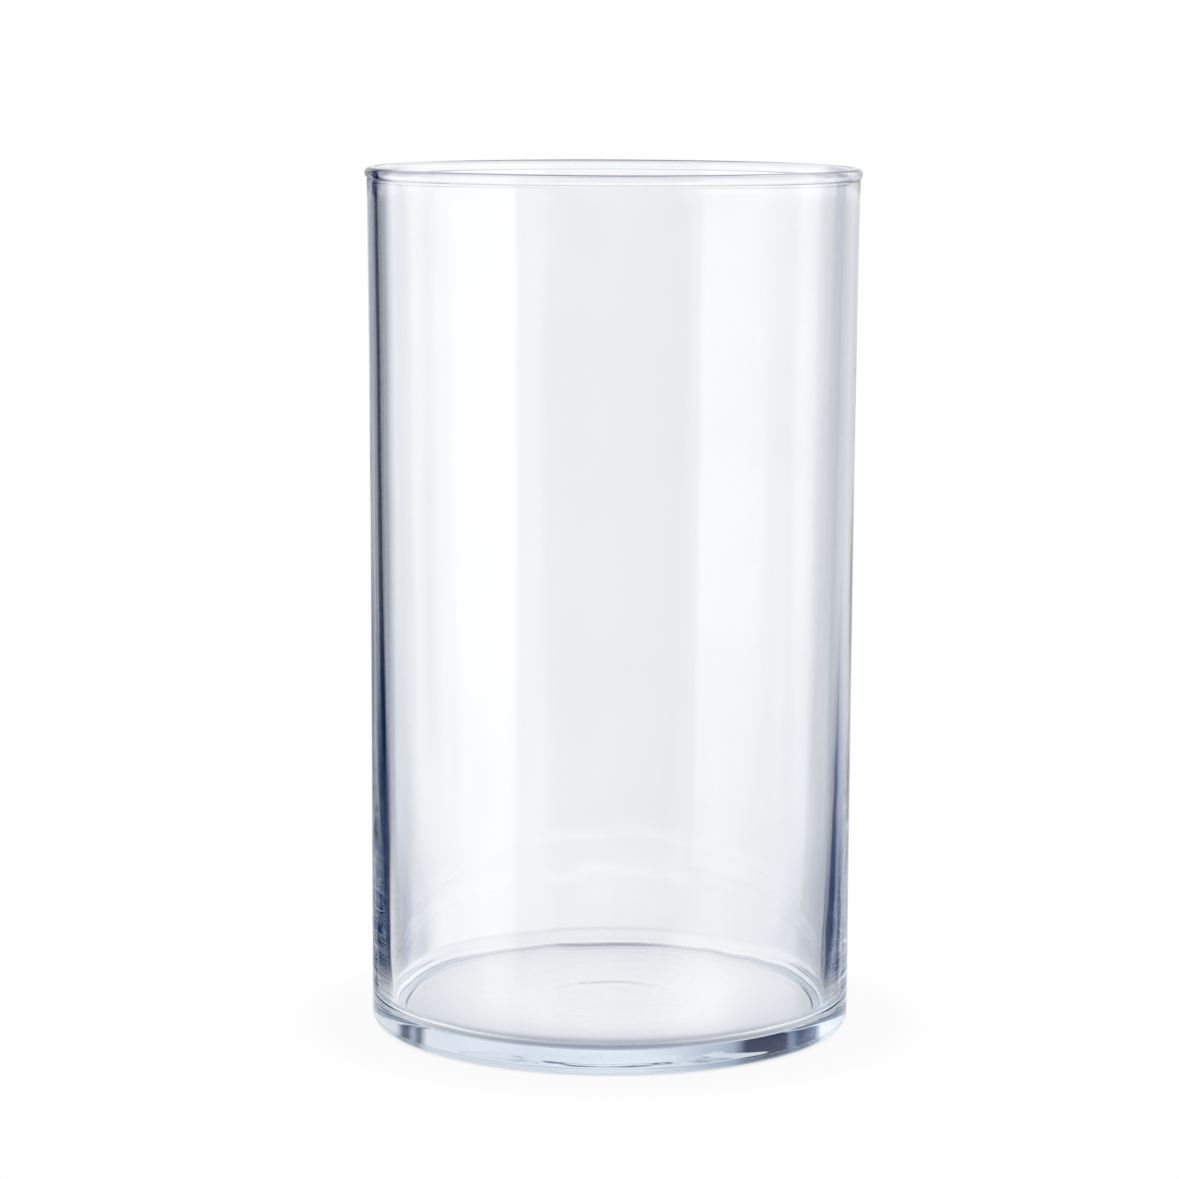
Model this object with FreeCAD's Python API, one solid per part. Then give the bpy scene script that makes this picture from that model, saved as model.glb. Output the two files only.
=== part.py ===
import FreeCAD, Part
import math
import os

# Glass cylinder vase: one piece of clear machine-made glass, open at the top.
#
# The vase is a body of revolution about Z. Its half section is drawn once in the XZ plane,
# counter-clockwise: along the underside, round the heel, up the outside of the wall, over the
# rounded rim, down the inside of the wall, round the inner corner and back along the floor.
# The origin is the centre of the foot, on the surface that the vase stands on. Sizes are in mm.

# Whole vase
HEIGHT = 200.0  # foot to the top of the rim
RIM_RADIUS = 57.25  # widest circle of the rim bead

# Outside of the wall: a plain cylinder that opens slightly towards the rim
BODY_RADIUS = 56.05
TOP_FLARE = 0.75
FLARE_POWER = 4  # keeps the opening in the upper third
HEEL_RADIUS = 2.4  # outer rounding where the wall meets the foot

# Thickness of the wall: thin at the rim, heavier towards the base, as glass settles in the mould
WALL_AT_RIM = 2.35
WALL_EXTRA_AT_BASE = 2.7
WALL_POWER = 3

# Floor and inner corner
FLOOR_LEVEL = 4.8  # top of the floor above the table
INNER_CORNER_RADIUS = 4.0

# Rim bead: the fire-polished edge, a little thicker than the wall on both sides
BEAD_HEIGHT = 2.8
BEAD_INSIDE_STEP = 0.3  # how far the bead stands proud of the inside of the wall
NECK_RADIUS = 0.8  # hollow rounding between the bead and the wall

# Underside: a flat ring to stand on, around a shallow hollow with a round mould mark
FOOT_RING_WIDTH = 2.5
HOLLOW_DEPTH = 0.4
HOLLOW_EDGE_WIDTH = 1.2  # the slope from the ring up to the hollow
MARK_RADIUS = 16.0
MARK_DEPTH = 0.15
MARK_EDGE_WIDTH = 1.5

WALL_SPANS = 8  # spline spans up each side of the wall
SLOPE_STEP = 0.5  # height step used to measure the lean of the inside of the wall

BEAD_RADIUS = BEAD_HEIGHT / 2
BEAD_LEVEL = HEIGHT - BEAD_RADIUS


def outer_radius(height):
    """Outside radius of the wall at a height above the foot."""
    return BODY_RADIUS + TOP_FLARE * (height / HEIGHT) ** FLARE_POWER


def wall_thickness(height):
    return WALL_AT_RIM + WALL_EXTRA_AT_BASE * (1 - height / HEIGHT) ** WALL_POWER


def inner_radius(height):
    """Inside radius of the wall at a height above the foot."""
    return outer_radius(height) - wall_thickness(height)


def inner_lean(height):
    """Angle between the inside of the wall and the vertical, in radians."""
    change = inner_radius(height + SLOPE_STEP) - inner_radius(height - SLOPE_STEP)
    return math.atan2(change, 2 * SLOPE_STEP)


def point(radius, height):
    return FreeCAD.Vector(radius, 0, height)


def on_circle(centre, radius, angle):
    """Point of a circle in the XZ plane, the angle counted from +X towards +Z."""
    return centre + point(radius * math.cos(angle), radius * math.sin(angle))


def line(start, end):
    return Part.LineSegment(start, end).toShape()


def arc(centre, radius, start_angle, end_angle):
    """Arc in the XZ plane through its start, middle and end."""
    middle_angle = (start_angle + end_angle) / 2
    angles = (start_angle, middle_angle, end_angle)
    return Part.Arc(*[on_circle(centre, radius, angle) for angle in angles]).toShape()


def wall_curve(radius_at, bottom, top, bottom_lean):
    """Smooth line up one side of the wall between two points, vertical at its top end."""
    rise = (top.z - bottom.z) / WALL_SPANS
    heights = [bottom.z + rise * step for step in range(1, WALL_SPANS)]
    between = [point(radius_at(height), height) for height in heights]
    curve = Part.BSplineCurve()
    curve.interpolate(
        Points=[bottom] + between + [top],
        InitialTangent=point(math.sin(bottom_lean), math.cos(bottom_lean)),
        FinalTangent=point(0, 1),
    )
    return curve.toShape()


def neck(bead_centre, side):
    """Hollow arc between the wall and the bead. Side is +1 outside the wall and -1 inside.

    It touches the wall, which is vertical there, and the bead. Returns the arc's edge, the
    point where it leaves the wall and the angle at which it meets the bead.
    """
    wall_at = outer_radius if side > 0 else inner_radius
    wall_radius = wall_at(HEIGHT - BEAD_HEIGHT)
    centre_radius = wall_radius + side * NECK_RADIUS
    reach = BEAD_RADIUS + NECK_RADIUS
    drop = math.sqrt(reach ** 2 - (centre_radius - bead_centre.x) ** 2)
    centre = point(centre_radius, BEAD_LEVEL - drop)
    towards_wall = math.pi if side > 0 else 0.0
    towards_bead = math.atan2(drop, bead_centre.x - centre_radius)
    edge = arc(centre, NECK_RADIUS, towards_wall, towards_bead)
    return edge, point(wall_radius, centre.z), towards_bead - math.pi


def underside():
    """Centre mark, hollow and foot ring, from the axis out to the heel."""
    ring_outside = BODY_RADIUS - HEEL_RADIUS
    ring_inside = ring_outside - FOOT_RING_WIDTH
    hollow_radius = ring_inside - HOLLOW_EDGE_WIDTH
    mark_level = HOLLOW_DEPTH + MARK_DEPTH
    mark_inside = MARK_RADIUS - MARK_EDGE_WIDTH
    corners = [
        point(0, mark_level),
        point(mark_inside, mark_level),
        point(MARK_RADIUS, HOLLOW_DEPTH),
        point(hollow_radius, HOLLOW_DEPTH),
        point(ring_inside, 0),
        point(ring_outside, 0),
    ]
    return [line(start, end) for start, end in zip(corners, corners[1:])]


def rim(outer_neck, outer_angle, outer_centre, inner_neck, inner_angle, inner_centre):
    """Bead from the outer neck over the top to the inner neck."""
    top = math.pi / 2
    outside = arc(outer_centre, BEAD_RADIUS, outer_angle, top)
    crown = line(on_circle(outer_centre, BEAD_RADIUS, top), on_circle(inner_centre, BEAD_RADIUS, top))
    inside = arc(inner_centre, BEAD_RADIUS, top, inner_angle + 2 * math.pi)
    return [outer_neck, outside, crown, inside, inner_neck]


def inner_corner():
    """Rounding between the floor and the wall. Returns its edge and its two ends."""
    lean = inner_lean(FLOOR_LEVEL + INNER_CORNER_RADIUS)
    top_level = FLOOR_LEVEL + INNER_CORNER_RADIUS * (1 - math.sin(lean))
    floor_radius = inner_radius(top_level) - INNER_CORNER_RADIUS * math.cos(lean)
    centre = point(floor_radius, FLOOR_LEVEL + INNER_CORNER_RADIUS)
    edge = arc(centre, INNER_CORNER_RADIUS, -lean, -math.pi / 2)
    return edge, on_circle(centre, INNER_CORNER_RADIUS, -lean), point(floor_radius, FLOOR_LEVEL)


def half_section():
    """Closed outline of the glass on one side of the axis."""
    outer_centre = point(RIM_RADIUS - BEAD_RADIUS, BEAD_LEVEL)
    bead_inside = inner_radius(BEAD_LEVEL) - BEAD_INSIDE_STEP
    inner_centre = point(bead_inside + BEAD_RADIUS, BEAD_LEVEL)
    outer_neck, outer_top, outer_angle = neck(outer_centre, 1)
    inner_neck, inner_top, inner_angle = neck(inner_centre, -1)
    corner, corner_top, corner_foot = inner_corner()
    heel_centre = point(BODY_RADIUS - HEEL_RADIUS, HEEL_RADIUS)
    heel = arc(heel_centre, HEEL_RADIUS, -math.pi / 2, 0)
    heel_top = on_circle(heel_centre, HEEL_RADIUS, 0)
    outside = wall_curve(outer_radius, heel_top, outer_top, 0.0)
    inside = wall_curve(inner_radius, corner_top, inner_top, inner_lean(corner_top.z))
    floor = line(corner_foot, point(0, FLOOR_LEVEL))
    axis = line(point(0, FLOOR_LEVEL), point(0, HOLLOW_DEPTH + MARK_DEPTH))
    bead = rim(outer_neck, outer_angle, outer_centre, inner_neck, inner_angle, inner_centre)
    return underside() + [heel, outside] + bead + [inside, corner, floor, axis]


def glass_vase():
    outline = Part.Wire(half_section())
    section = Part.Face(outline)
    return section.revolve(FreeCAD.Vector(0, 0, 0), FreeCAD.Vector(0, 0, 1), 360)


os.makedirs("parts", exist_ok=True)
vase = glass_vase()
vase.exportStep("parts/glass_vase.step")
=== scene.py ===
import math
import random

import bpy
from mathutils import Euler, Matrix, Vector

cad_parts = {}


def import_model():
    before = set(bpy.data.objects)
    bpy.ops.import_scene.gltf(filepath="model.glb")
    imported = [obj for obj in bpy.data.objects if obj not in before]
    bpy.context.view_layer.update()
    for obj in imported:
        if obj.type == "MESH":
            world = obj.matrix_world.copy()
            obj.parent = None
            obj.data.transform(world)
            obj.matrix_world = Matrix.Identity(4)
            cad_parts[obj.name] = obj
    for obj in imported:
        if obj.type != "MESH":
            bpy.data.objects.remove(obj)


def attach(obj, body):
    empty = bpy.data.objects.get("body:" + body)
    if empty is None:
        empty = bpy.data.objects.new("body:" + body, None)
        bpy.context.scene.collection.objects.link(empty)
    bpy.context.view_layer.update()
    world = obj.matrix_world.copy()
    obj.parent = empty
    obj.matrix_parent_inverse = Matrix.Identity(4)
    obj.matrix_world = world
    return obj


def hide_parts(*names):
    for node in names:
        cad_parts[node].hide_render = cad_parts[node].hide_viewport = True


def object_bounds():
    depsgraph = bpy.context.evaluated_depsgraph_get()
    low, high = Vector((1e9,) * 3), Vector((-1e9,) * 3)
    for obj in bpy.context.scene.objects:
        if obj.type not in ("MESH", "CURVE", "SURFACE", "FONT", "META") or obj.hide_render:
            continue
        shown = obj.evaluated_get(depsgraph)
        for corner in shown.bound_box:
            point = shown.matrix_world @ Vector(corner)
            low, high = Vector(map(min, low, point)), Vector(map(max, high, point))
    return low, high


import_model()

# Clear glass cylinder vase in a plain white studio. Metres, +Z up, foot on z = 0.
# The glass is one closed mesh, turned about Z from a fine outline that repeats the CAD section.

CAD_LOW, CAD_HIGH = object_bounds()
HEIGHT = CAD_HIGH.z
RIM_RADIUS = CAD_HIGH.x
MM = 0.001

# Section of the glass, as in the CAD model
RIM_OVERHANG = 1.2 * MM  # how much wider the rim is than the foot of the wall, on each side
BODY_RADIUS = RIM_RADIUS - RIM_OVERHANG
TOP_FLARE = 0.75 * MM
FLARE_POWER = 4
HEEL_RADIUS = 2.4 * MM
WALL_AT_RIM = 2.35 * MM
WALL_EXTRA_AT_BASE = 2.7 * MM
WALL_POWER = 3
FLOOR_LEVEL = 4.8 * MM
INNER_CORNER_RADIUS = 4.0 * MM
CORNER_TOP = FLOOR_LEVEL + INNER_CORNER_RADIUS
BEAD_RADIUS = 1.4 * MM
BEAD_LEVEL = HEIGHT - BEAD_RADIUS
BEAD_INSIDE_STEP = 0.3 * MM
NECK_RADIUS = 0.8 * MM
FOOT_RING_WIDTH = 2.5 * MM
FOOT_RING_OUTSIDE = BODY_RADIUS - HEEL_RADIUS
FOOT_RING_INSIDE = FOOT_RING_OUTSIDE - FOOT_RING_WIDTH
HOLLOW_DEPTH = 0.4 * MM
HOLLOW_EDGE_WIDTH = 1.2 * MM
HOLLOW_RADIUS = FOOT_RING_INSIDE - HOLLOW_EDGE_WIDTH
MARK_RADIUS = 16.0 * MM
MARK_DEPTH = 0.04 * MM  # shallower and softer than in the CAD, as it shows on the real glass
MARK_EDGE_WIDTH = 3.0 * MM

# Mesh steps round the vase, and along each stretch of its outline
SEGMENTS = 288
HOLLOW_STEPS = 30
HOLLOW_EDGE_STEPS = 12
FOOT_RING_STEPS = 5
HEEL_STEPS = 26
OUTSIDE_STEPS = 58
OUTSIDE_BUNCHING = 1.6  # above 1, the steps bunch towards the foot
NECK_STEPS = 5
OUTER_BEAD_STEPS = 16
INNER_BEAD_STEPS = 14
INSIDE_STEPS = 82
INSIDE_BUNCHING = 1.8
INNER_CORNER_STEPS = 26
FLOOR_STEPS = 42


# ---------------------------------------------------------------- outline of the glass

def outer_radius(height):
    return BODY_RADIUS + TOP_FLARE * (height / HEIGHT) ** FLARE_POWER


def inner_radius(height):
    wall = WALL_AT_RIM + WALL_EXTRA_AT_BASE * (1 - height / HEIGHT) ** WALL_POWER
    return outer_radius(height) - wall


def spread(start, end, steps):
    """Evenly spaced numbers from start to end, without the end."""
    return [start + (end - start) * step / steps for step in range(steps)]


def graded(start, end, steps, power):
    """Like spread, with the steps bunched towards the start."""
    return [start + (end - start) * (step / steps) ** power for step in range(steps)]


def arc(centre, radius, start, end, steps):
    """Points of an arc in the (radius, height) plane, without the last one."""
    angles = spread(start, end, steps)
    return [(centre[0] + radius * math.cos(a), centre[1] + radius * math.sin(a)) for a in angles]


def smooth_step(edge_low, edge_high, value):
    share = min(max((value - edge_low) / (edge_high - edge_low), 0.0), 1.0)
    return share * share * (3 - 2 * share)


def underside_level(radius):
    """Height of the underside above the table, from the axis out to the foot ring."""
    hollow = HOLLOW_DEPTH * (1 - smooth_step(HOLLOW_RADIUS, FOOT_RING_INSIDE, radius))
    mark = MARK_DEPTH * (1 - smooth_step(MARK_RADIUS - MARK_EDGE_WIDTH, MARK_RADIUS, radius))
    return hollow + mark


def underside():
    radii = spread(0.0, HOLLOW_RADIUS, HOLLOW_STEPS)
    radii += spread(HOLLOW_RADIUS, FOOT_RING_INSIDE, HOLLOW_EDGE_STEPS)
    radii += spread(FOOT_RING_INSIDE, FOOT_RING_OUTSIDE, FOOT_RING_STEPS)
    return [(radius, underside_level(radius)) for radius in radii]


def outer_skin(top):
    """Heel and outer wall, from the foot ring up to the neck under the bead."""
    heel = arc((FOOT_RING_OUTSIDE, HEEL_RADIUS), HEEL_RADIUS, -math.pi / 2, 0.0, HEEL_STEPS)
    heights = graded(HEEL_RADIUS, top, OUTSIDE_STEPS, OUTSIDE_BUNCHING)
    return heel + [(outer_radius(height), height) for height in heights]


def neck(bead_centre_radius, side):
    """Centre of the hollow arc under the bead, and the angle at which it meets the bead. The
    side is 1 outside and -1 inside."""
    wall_at = outer_radius if side > 0 else inner_radius
    centre_radius = wall_at(HEIGHT - 2 * BEAD_RADIUS) + side * NECK_RADIUS
    reach = BEAD_RADIUS + NECK_RADIUS
    drop = math.sqrt(reach ** 2 - (centre_radius - bead_centre_radius) ** 2)
    angle = math.atan2(drop, bead_centre_radius - centre_radius)
    return (centre_radius, BEAD_LEVEL - drop), angle


def rim():
    """The bead and its necks, and the heights at which they meet the outer and inner walls."""
    outer_bead = (RIM_RADIUS - BEAD_RADIUS, BEAD_LEVEL)
    inner_bead = (inner_radius(BEAD_LEVEL) - BEAD_INSIDE_STEP + BEAD_RADIUS, BEAD_LEVEL)
    outer_neck, outer_angle = neck(outer_bead[0], 1)
    inner_neck, inner_angle = neck(inner_bead[0], -1)
    points = arc(outer_neck, NECK_RADIUS, math.pi, outer_angle, NECK_STEPS)
    points += arc(outer_bead, BEAD_RADIUS, outer_angle - math.pi, math.pi / 2, OUTER_BEAD_STEPS)
    points += arc(inner_bead, BEAD_RADIUS, math.pi / 2, inner_angle + math.pi, INNER_BEAD_STEPS)
    points += arc(inner_neck, NECK_RADIUS, inner_angle, 0.0, NECK_STEPS)
    return points, outer_neck[1], inner_neck[1]


def inner_skin(top, corner_centre):
    """Inner wall and rounded corner, from the neck under the bead down to the floor."""
    heights = graded(CORNER_TOP, top, INSIDE_STEPS, INSIDE_BUNCHING)[1:] + [top]
    wall = [(inner_radius(height), height) for height in reversed(heights)]
    return wall + arc(corner_centre, INNER_CORNER_RADIUS, 0.0, -math.pi / 2, INNER_CORNER_STEPS)


def outline():
    """The half section as closely spaced (radius, height, skin), from the underside's centre
    to the floor's."""
    bead, outer_top, inner_top = rim()
    corner_centre = (inner_radius(CORNER_TOP) - INNER_CORNER_RADIUS, CORNER_TOP)
    floor_radii = spread(corner_centre[0], 0.0, FLOOR_STEPS) + [0.0]
    skins = (
        ("under", underside()),
        ("outer", outer_skin(outer_top)),
        ("rim", bead),
        ("inner", inner_skin(inner_top, corner_centre)),
        ("floor", [(radius, FLOOR_LEVEL) for radius in floor_radii]),
    )
    return [(radius, height, skin) for skin, points in skins for radius, height in points]


# ---------------------------------------------------------------- waviness of the glass

WAVE_LOBES = 12  # a wave with this many lobes round the vase has half its depth, and fewer more
LEAST_WAVE = 0.5  # least share of its depth that chance leaves a wave


class Waves:
    """Faint slanting waves round the vase, as hot glass keeps from the mould."""

    def __init__(self, seed, count, depth, lobe_range, rise_range, lean=0):
        """Rise is in radians per metre of height. A lean of 1 or -1 slants all waves one way."""
        chance = random.Random(seed)
        self.terms = []
        for _ in range(count):
            lobes = chance.randint(*lobe_range)
            rise = (lean or chance.choice((-1, 1))) * chance.uniform(*rise_range)
            size = depth * chance.uniform(LEAST_WAVE, 1.0) * WAVE_LOBES / (WAVE_LOBES + lobes)
            self.terms.append((lobes, rise, chance.uniform(0, 2 * math.pi), size))

    def at(self, angle, height):
        return sum(size * math.sin(lobes * angle + rise * height + phase)
                   for lobes, rise, phase, size in self.terms)


WIDE_LOBES = (5, 30)
WIDE_RISE = (40, 160)
OUTER_WAVES = Waves(3, 7, 0.030 * MM, WIDE_LOBES, WIDE_RISE)
INNER_WAVES = Waves(11, 7, 0.045 * MM, WIDE_LOBES, WIDE_RISE)
FLOOR_WAVES = Waves(5, 5, 0.004 * MM, WIDE_LOBES, WIDE_RISE)
STREAKS = Waves(23, 9, 0.014 * MM, (18, 40), (350, 800), -1)  # finer waves inside, low down
STREAKS_FROM = 10 * MM
STREAKS_FULL = 24 * MM
WAVES_FADE = 28 * MM  # the waves die away over this height above the foot
WAVES_LEFT = 0.05  # share that stays further up
HEEL_CALM = 3 * HEEL_RADIUS  # the outer waves reach their full depth at this height
RIM_CALM_FROM = 0.9 * HEIGHT  # the waves end between these heights, so the rim stays round
RIM_CALM_FULL = 0.97 * HEIGHT
FLOOR_WAVES_FULL = 8 * MM  # radii between which the floor's waves are at their full depth
FLOOR_WAVES_FADE = 30 * MM
FLOOR_WAVES_END = 44 * MM
# Turned rings on the floor: radius, depth and half width
FLOOR_RINGS = ((16.2 * MM, 0.040 * MM, 1.3 * MM), (29.5 * MM, 0.012 * MM, 1.6 * MM))


def wall_share(height, calm, full):
    """Share of the waves' depth that the wall has at a height: none below calm or at the rim."""
    share = math.exp(-height / WAVES_FADE) + WAVES_LEFT
    share *= smooth_step(calm, full, height)
    return share * (1 - smooth_step(RIM_CALM_FROM, RIM_CALM_FULL, height))


def moved(radius, height, skin, angle):
    """The outline point with the waves and rings added."""
    if skin == "outer":
        waves = OUTER_WAVES.at(angle, height)
        return radius + wall_share(height, 0.0, HEEL_CALM) * waves, height
    if skin == "inner":
        streaks = STREAKS.at(angle, height) * smooth_step(STREAKS_FROM, STREAKS_FULL, height)
        waves = INNER_WAVES.at(angle, height) + streaks
        return radius + wall_share(height, FLOOR_LEVEL, CORNER_TOP) * waves, height
    if skin == "floor":
        level = height
        for ring_radius, depth, half_width in FLOOR_RINGS:
            level -= depth * math.exp(-((radius - ring_radius) / half_width) ** 2)
        share = smooth_step(0.0, FLOOR_WAVES_FULL, radius)
        share *= 1 - smooth_step(FLOOR_WAVES_FADE, FLOOR_WAVES_END, radius)
        return radius, level + share * FLOOR_WAVES.at(angle, radius)
    return radius, height


def lathe(name, points):
    """Closed mesh of the outline turned about Z, with one vertex at each end on the axis."""
    rings = points[1:-1]
    vertices = [(0.0, 0.0, points[0][1])]
    for radius, height, skin in rings:
        for step in range(SEGMENTS):
            angle = 2 * math.pi * step / SEGMENTS
            wide, high = moved(radius, height, skin, angle)
            vertices.append((wide * math.cos(angle), wide * math.sin(angle), high))
    vertices.append((0.0, 0.0, points[-1][1]))
    last = len(vertices) - 1
    last_ring = last - SEGMENTS
    faces = []
    for step in range(SEGMENTS):
        after = (step + 1) % SEGMENTS
        faces.append((0, 1 + after, 1 + step))
        faces.append((last_ring + step, last_ring + after, last))
        for low in range(1, last_ring, SEGMENTS):
            high = low + SEGMENTS
            faces.append((low + step, low + after, high + after, high + step))
    mesh = bpy.data.meshes.new(name)
    mesh.from_pydata(vertices, [], faces)
    mesh.shade_smooth()
    mesh.update()
    piece = bpy.data.objects.new(name, mesh)
    bpy.context.scene.collection.objects.link(piece)
    return piece


# ---------------------------------------------------------------- node trees

WHITE = (1.0, 1.0, 1.0, 1.0)
# Sockets of a Mix node that is set to colours
MIX_SHARE = 0
MIX_FIRST = 6
MIX_SECOND = 7
MIX_RESULT = 2


class Tree:
    """Short calls for building a node tree."""

    def __init__(self, owner):
        owner.use_nodes = True
        self.nodes = owner.node_tree.nodes
        self.links = owner.node_tree.links

    def put(self, value, socket):
        if hasattr(value, "is_output"):
            self.links.new(value, socket)
        else:
            socket.default_value = value

    def math(self, operation, *values):
        node = self.nodes.new("ShaderNodeMath")
        node.operation = operation
        for value, socket in zip(values, node.inputs):
            self.put(value, socket)
        return node.outputs[0]

    def coordinates(self, kind):
        return self.nodes.new("ShaderNodeTexCoord").outputs[kind]

    def split(self, vector):
        """The X, Y and Z of a vector."""
        node = self.nodes.new("ShaderNodeSeparateXYZ")
        self.put(vector, node.inputs[0])
        return node.outputs

    def length(self, vector):
        node = self.nodes.new("ShaderNodeVectorMath")
        node.operation = "LENGTH"
        self.put(vector, node.inputs[0])
        return node.outputs["Value"]

    def ease(self, value, start, end, to_start=0.0, to_end=1.0):
        """Smooth change from to_start to to_end while the value goes from start to end."""
        node = self.nodes.new("ShaderNodeMapRange")
        node.interpolation_type = "SMOOTHSTEP"
        names = ("Value", "From Min", "From Max", "To Min", "To Max")
        for name, given in zip(names, (value, start, end, to_start, to_end)):
            self.put(given, node.inputs[name])
        return node.outputs[0]

    def mix(self, share, first, second):
        node = self.nodes.new("ShaderNodeMix")
        node.data_type = "RGBA"
        self.put(share, node.inputs[MIX_SHARE])
        self.put(first, node.inputs[MIX_FIRST])
        self.put(second, node.inputs[MIX_SECOND])
        return node.outputs[MIX_RESULT]

    def mix_shaders(self, share, first, second):
        node = self.nodes.new("ShaderNodeMixShader")
        for value, socket in zip((share, first, second), node.inputs):
            self.put(value, socket)
        return node.outputs[0]

    def ramp(self, value, stops):
        """Colour ramp through (position, colour) stops."""
        node = self.nodes.new("ShaderNodeValToRGB")
        self.put(value, node.inputs["Fac"])
        elements = node.color_ramp.elements
        elements.remove(elements[1])
        for index, (position, colour) in enumerate(stops):
            element = elements[0] if index == 0 else elements.new(position)
            element.position = position
            element.color = colour
        return node.outputs["Color"]

    def noise(self, place, size, detail):
        node = self.nodes.new("ShaderNodeTexNoise")
        self.put(place, node.inputs["Vector"])
        self.put(1 / size, node.inputs["Scale"])
        self.put(detail, node.inputs["Detail"])
        return node.outputs["Fac"]

    def cells(self, place, size):
        """Distance from the nearest of scattered points, as a share of their spacing."""
        node = self.nodes.new("ShaderNodeTexVoronoi")
        self.put(place, node.inputs["Vector"])
        self.put(1 / size, node.inputs["Scale"])
        return node.outputs["Distance"]

    def bump(self, height, depth, normal=None):
        node = self.nodes.new("ShaderNodeBump")
        self.put(height, node.inputs["Height"])
        self.put(depth, node.inputs["Distance"])
        if normal is not None:
            self.put(normal, node.inputs["Normal"])
        return node.outputs["Normal"]


# ---------------------------------------------------------------- glass

GLASS_IOR = 1.5
DEPTH_COLOUR = (0.64, 0.78, 0.91, 1.0)  # blue-grey where the glass is thick
DEPTH_DENSITY = 6.0
SMEAR_SIZE = 22 * MM  # wiping smears and the faint unevenness of the polish
SMEAR_DETAIL = 1.0
SMEAR_FROM = 0.4  # noise values at which the smears start and are full
SMEAR_FULL = 0.8
SMEAR_COLOUR = (0.982, 0.985, 0.994, 1.0)
RIPPLE_SIZE = 5 * MM  # fine ripples of the fire-polished skin
RIPPLE_DETAIL = 0.0
RIPPLE_DEPTH = 0.002 * MM
SEED_SPACING = 15 * MM  # tiny bubbles caught just under the skin
SEED_RADIUS = 0.22 * MM
SEED_DEPTH = 0.05 * MM


def glass_material():
    material = bpy.data.materials.new("clear_glass")
    tree = Tree(material)
    place = tree.coordinates("Object")
    smears = tree.ease(tree.noise(place, SMEAR_SIZE, SMEAR_DETAIL), SMEAR_FROM, SMEAR_FULL)
    ripples = tree.bump(tree.noise(place, RIPPLE_SIZE, RIPPLE_DETAIL), RIPPLE_DEPTH)
    seeds = tree.ease(tree.cells(place, SEED_SPACING), SEED_RADIUS / SEED_SPACING, 0.0)
    shader = tree.nodes["Principled BSDF"]
    shader.inputs["IOR"].default_value = GLASS_IOR
    shader.inputs["Transmission Weight"].default_value = 1.0
    shader.inputs["Roughness"].default_value = 0.0
    tree.put(tree.mix(smears, WHITE, SMEAR_COLOUR), shader.inputs["Base Color"])
    tree.put(tree.bump(seeds, SEED_DEPTH, ripples), shader.inputs["Normal"])
    absorb = tree.nodes.new("ShaderNodeVolumeAbsorption")
    absorb.inputs["Color"].default_value = DEPTH_COLOUR
    absorb.inputs["Density"].default_value = DEPTH_DENSITY
    tree.put(absorb.outputs["Volume"], tree.nodes["Material Output"].inputs["Volume"])
    return material


# ---------------------------------------------------------------- studio

# Brightness round the vase, as (heading, level) stops in degrees, from a little above the
# horizon down to the table. Heading 0 is +Y, behind the vase, and +90 is +X.
RAISED = [
    (-180, 0.25), (-135, 0.25), (-130, 1.0), (-97, 1.0), (-84, 0.7), (-77, 1.2), (-52, 1.2),
    (-48, 0.3), (-40, 0.02), (-37, 0.35), (-35, 0.0), (-24, 0.0), (-21, 0.5), (-8, 0.9),
    (-4, 1.0), (4, 1.0), (12, 0.92), (38, 0.88), (41, 0.02), (44, 0.5), (46, 0.02), (49, 0.02),
    (53, 0.8), (80, 1.1), (90, 0.6), (134, 0.8), (146, 0.8), (152, 0.1),
]
HORIZON = [
    (-180, 0.06), (-135, 0.1), (-132.5, 1.45), (-97, 1.4), (-91, 0.85), (-84, 0.7),
    (-77, 1.3), (-52, 1.4), (-48, 0.5), (-43.5, 0.5), (-42, 0.0), (-28, 0.0), (-26.5, 0.4),
    (-24, 0.55), (-21.5, 0.32), (-15, 0.35), (-8, 0.78), (-4.5, 1.0), (1, 1.0), (3, 0.93),
    (5.5, 0.93), (12, 0.67), (20, 0.62), (25, 0.78), (52, 0.48), (57, 1.1), (68, 0.65),
    (80, 1.2), (88, 0.35), (94, 0.85), (141, 0.85), (147, 0.06),
]
MIDDLE = [
    (-180, 0.22), (-136, 0.2), (-132, 0.8), (-126, 1.2), (-106, 1.35), (-98, 0.85),
    (-88, 1.1), (-66, 1.3), (-49, 1.1), (-46.5, 0.0), (-24, 0.0), (-21, 0.4), (-16, 0.5),
    (-12, 0.65), (-8, 0.92), (-5, 1.0), (1, 1.0), (3, 0.9), (6, 0.92), (17, 0.75), (23, 0.6),
    (31, 0.42), (34, 0.12), (37, 0.02), (46, 0.02), (50, 0.25), (58, 0.5), (98, 0.4),
    (120, 0.6), (127, 0.9), (145, 0.8), (152, 0.1),
]
NEAR_FLOOR = [
    (-180, 0.22), (-133, 0.15), (-130, 0.8), (-114, 1.1), (-108, 0.5), (-76, 0.5), (-68, 0.9),
    (-42, 0.9), (-39, 0.0), (-19, 0.0), (-16, 0.3), (-13, 0.5), (-9, 0.93), (-6, 1.0),
    (0, 0.93), (3, 0.88), (7, 0.85), (13, 0.7), (20.5, 0.6), (22.5, 0.01), (27, 0.0),
    (28.5, 0.3), (31, 0.3), (33.5, 0.03), (36, 0.0), (54, 0.0), (57, 0.3), (66, 0.1),
    (90, 0.8), (128, 0.9), (147, 0.8), (154, 0.1),
]
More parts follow.
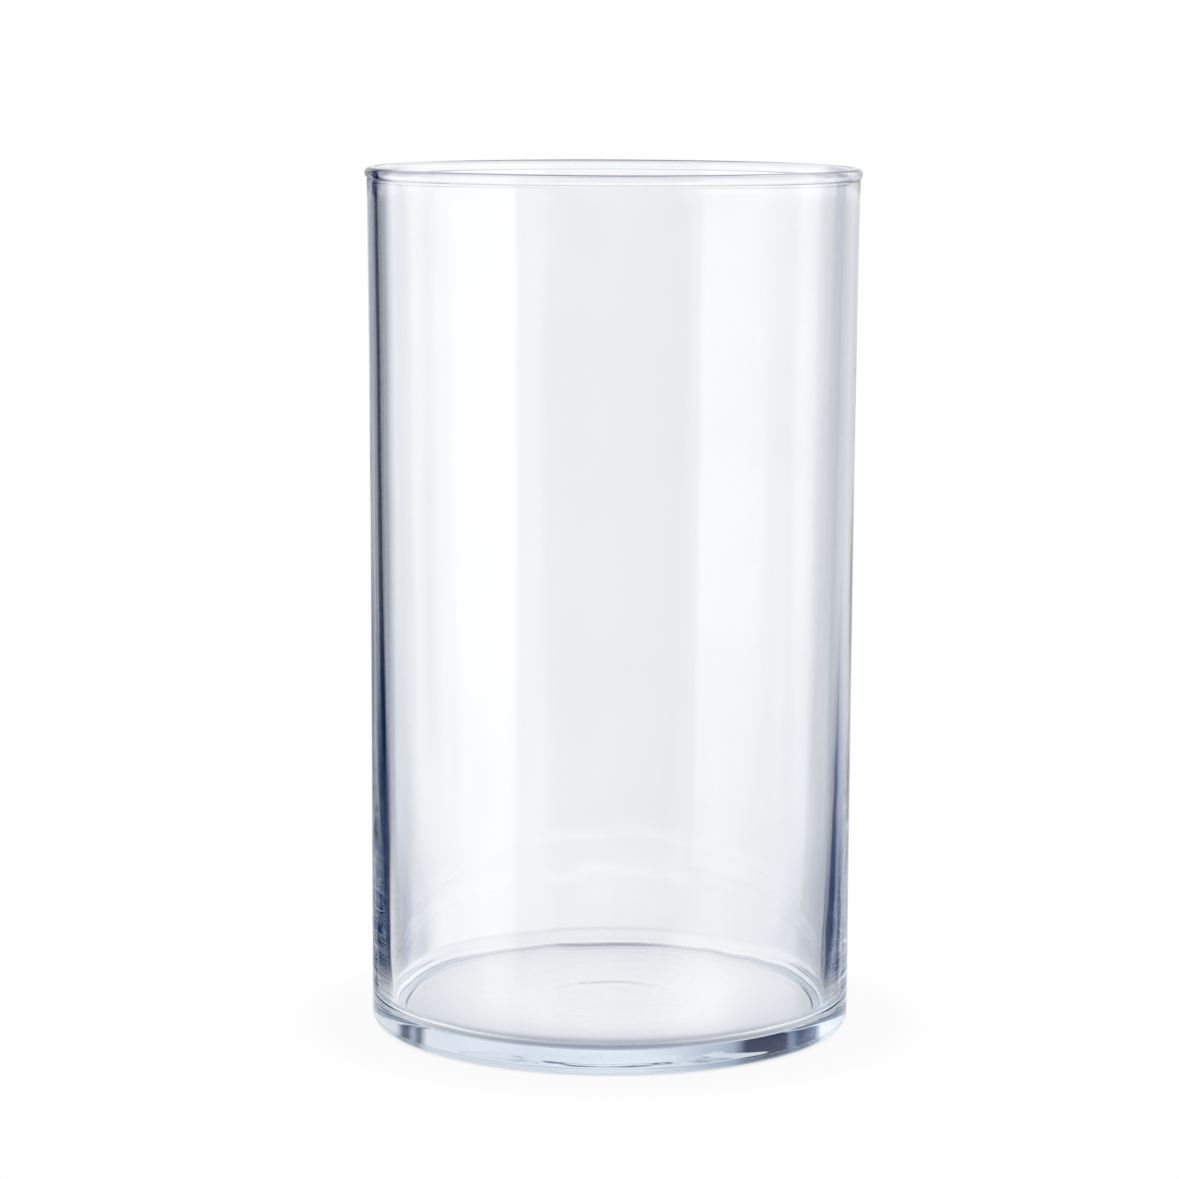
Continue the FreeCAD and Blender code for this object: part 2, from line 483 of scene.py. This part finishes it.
TABLE = [
    (-180, 0.3), (-100, 0.3), (-72, 1.0), (-38, 1.0), (-35.5, 0.1), (-27, 0.1), (-24, 0.42),
    (-18, 0.45), (-8, 0.85), (20, 0.8), (23.5, 0.1), (36.5, 0.1), (40, 0.6), (45, 0.5),
    (100, 0.7), (126, 1.0), (150, 1.0), (162, 0.3),
]
# Each of these takes over from the ring above it: the elevations in degrees at which it
# starts and is full, and how far its dark parts turn blue
LOWER_RINGS = (
    (HORIZON, 2.0, -4.0, 0.7),
    (MIDDLE, -8.5, -13.5, 1.0),
    (NEAR_FLOOR, -13.5, -16.5, 1.0),
    (TABLE, -18.4, -20.6, 1.0),
)
# The same for the plain stretches further down, overhead and at the zenith
PLAIN_PARTS = (
    (0.22, -34.0, -42.0, 0.3),
    (0.75, 20.0, 26.0, 0.3),
    (0.02, 70.0, 76.0, 1.0),
)
DARKEST = 0.003  # least brightness of the surround, before its blue
NAVY = 0.05  # blue light left in the darkest parts
# How much red and green fall, and blue rises, in the parts that turn blue
RED_LOSS = 0.35
GREEN_LOSS = 0.12
BLUE_GAIN = 0.28


def tinted(level, blueness):
    """Grey that turns blue where it is dark."""
    if level >= 1.0:
        return (level, level, level, 1.0)
    level = max(level, DARKEST)
    navy = NAVY * (blueness * (1 - level)) ** 4
    blueness *= math.sqrt(1 - level)
    red = level ** (1 + RED_LOSS * blueness)
    green = level ** (1 + GREEN_LOSS * blueness) + navy / 4
    blue = level ** (1 - BLUE_GAIN * blueness) + navy
    return (red, green, blue, 1.0)


def ring(tree, turn, levels, blueness):
    """Colours round the horizon: turn is 0 at heading -180 and 1 at +180."""
    stops = [((degrees + 180) / 360, tinted(level, blueness)) for degrees, level in levels]
    return tree.ramp(turn, stops)


def world():
    """Plain white to the camera, and a structured soft studio to the glass."""
    studio = bpy.data.worlds.new("studio")
    bpy.context.scene.world = studio
    tree = Tree(studio)
    x, y, z = tree.split(tree.coordinates("Generated"))
    turn = tree.math("MULTIPLY_ADD", tree.math("ARCTAN2", x, y), 0.5 / math.pi, 0.5)
    elevation = tree.math("MULTIPLY", tree.math("ARCSINE", z), 180 / math.pi)
    sky = ring(tree, turn, RAISED, 1.0)
    for levels, start, full, blueness in LOWER_RINGS:
        share = tree.ease(elevation, start, full)
        sky = tree.mix(share, sky, ring(tree, turn, levels, blueness))
    for level, start, full, blueness in PLAIN_PARTS:
        sky = tree.mix(tree.ease(elevation, start, full), sky, tinted(level, blueness))
    path = tree.nodes.new("ShaderNodeLightPath")
    shown = tree.mix(path.outputs["Is Camera Ray"], sky, WHITE)
    tree.put(shown, tree.nodes["Background"].inputs["Color"])


FLOOR_RADIUS = 0.085
FLOOR_SIDES = 96
FLOOR_SOLID = 0.057  # the floor fades out between this radius and its edge
FLOOR_COLOUR = (0.9, 0.9, 0.9, 1.0)
FLOOR_GLOW = 0.92  # share of the floor's light that is its own painted glow, so the floor stays bright where shade would fall under the vase
FLOOR_GAP = 0.1 * MM  # keeps the floor clear of the foot ring
# Painted shade in the floor's glow, standing in for the shadow under the foot: it grows outwards
# and ends at the foot's outside
SHADE_FROM = 0.018
SHADE_FULL = 0.050
SHADE_END = 0.056
SHADE_AT_BACK = 0.2
SHADE_BACK_FROM = 0.025  # the painted shade is at its least from here backwards
PAINTED_SHADE_COLOUR = (0.34, 0.38, 0.47, 1.0)


def floor_material():
    material = bpy.data.materials.new("floor")
    tree = Tree(material)
    tree.nodes.remove(tree.nodes["Principled BSDF"])
    place = tree.coordinates("Object")
    radius = tree.length(place)
    # Painted shade in the glow's colour: a ring under the foot, stronger at the front (-Y) than at
    # the back
    rising = tree.ease(radius, SHADE_FROM, SHADE_FULL)
    falling = tree.ease(radius, SHADE_END, SHADE_FULL)
    front = tree.ease(tree.split(place)["Y"], SHADE_BACK_FROM, -SHADE_FULL, SHADE_AT_BACK, 1.0)
    shade = tree.math("MULTIPLY", tree.math("MULTIPLY", rising, falling), front)
    diffuse = tree.nodes.new("ShaderNodeBsdfDiffuse")
    diffuse.inputs["Color"].default_value = FLOOR_COLOUR
    glow = tree.nodes.new("ShaderNodeEmission")
    tree.put(tree.mix(shade, WHITE, PAINTED_SHADE_COLOUR), glow.inputs["Color"])
    # The floor is mostly painted glow, with only a small share lit by the studio
    lit = tree.mix_shaders(FLOOR_GLOW, diffuse.outputs[0], glow.outputs[0])
    clear = tree.nodes.new("ShaderNodeBsdfTransparent")
    faded = tree.mix_shaders(tree.ease(radius, FLOOR_SOLID, FLOOR_RADIUS), lit, clear.outputs[0])
    tree.put(faded, tree.nodes["Material Output"].inputs["Surface"])
    return material


def studio_floor():
    """Small pale disc under the vase, mostly painted glow with a painted shade under the foot, that
    fades into the white.
    """
    angles = spread(0.0, 2 * math.pi, FLOOR_SIDES)
    corners = [(FLOOR_RADIUS * math.cos(a), FLOOR_RADIUS * math.sin(a), -FLOOR_GAP) for a in angles]
    mesh = bpy.data.meshes.new("floor")
    mesh.from_pydata(corners, [], [tuple(range(FLOOR_SIDES))])
    mesh.materials.append(floor_material())
    piece = bpy.data.objects.new("floor", mesh)
    bpy.context.scene.collection.objects.link(piece)


# Camera: a long lens a little above the rim, looking slightly down at the vase
CAMERA_PLACE = (-5.15 * MM, -899 * MM, 229 * MM)
LOOK_DOWN = 0.1405  # radians below the horizon
CAMERA_ROLL = 0.004
SENSOR_WIDTH = 36.0
LENS = 118.8


def camera():
    data = bpy.data.cameras.new("camera")
    data.sensor_width = SENSOR_WIDTH
    data.lens = LENS
    piece = bpy.data.objects.new("camera", data)
    bpy.context.scene.collection.objects.link(piece)
    piece.location = CAMERA_PLACE
    tilt = Euler((math.pi / 2 - LOOK_DOWN, 0.0, 0.0)).to_matrix()
    piece.rotation_euler = (tilt @ Euler((0.0, 0.0, CAMERA_ROLL)).to_matrix()).to_euler()
    bpy.context.scene.camera = piece


# Light bounces: many in the glass, which guides light down the wall and through the base
GLASS_BOUNCES = 48
DIFFUSE_BOUNCES = 4
CLEAR_BOUNCES = 16


def light_paths():
    scene = bpy.context.scene
    scene.view_settings.view_transform = "Standard"
    scene.cycles.max_bounces = GLASS_BOUNCES
    scene.cycles.glossy_bounces = GLASS_BOUNCES
    scene.cycles.transmission_bounces = GLASS_BOUNCES
    scene.cycles.diffuse_bounces = DIFFUSE_BOUNCES
    scene.cycles.transparent_max_bounces = CLEAR_BOUNCES


vase = lathe("vase_glass", outline())
vase.data.materials.append(glass_material())
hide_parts("glass_vase")
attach(vase, "root")
world()
studio_floor()
camera()
light_paths()
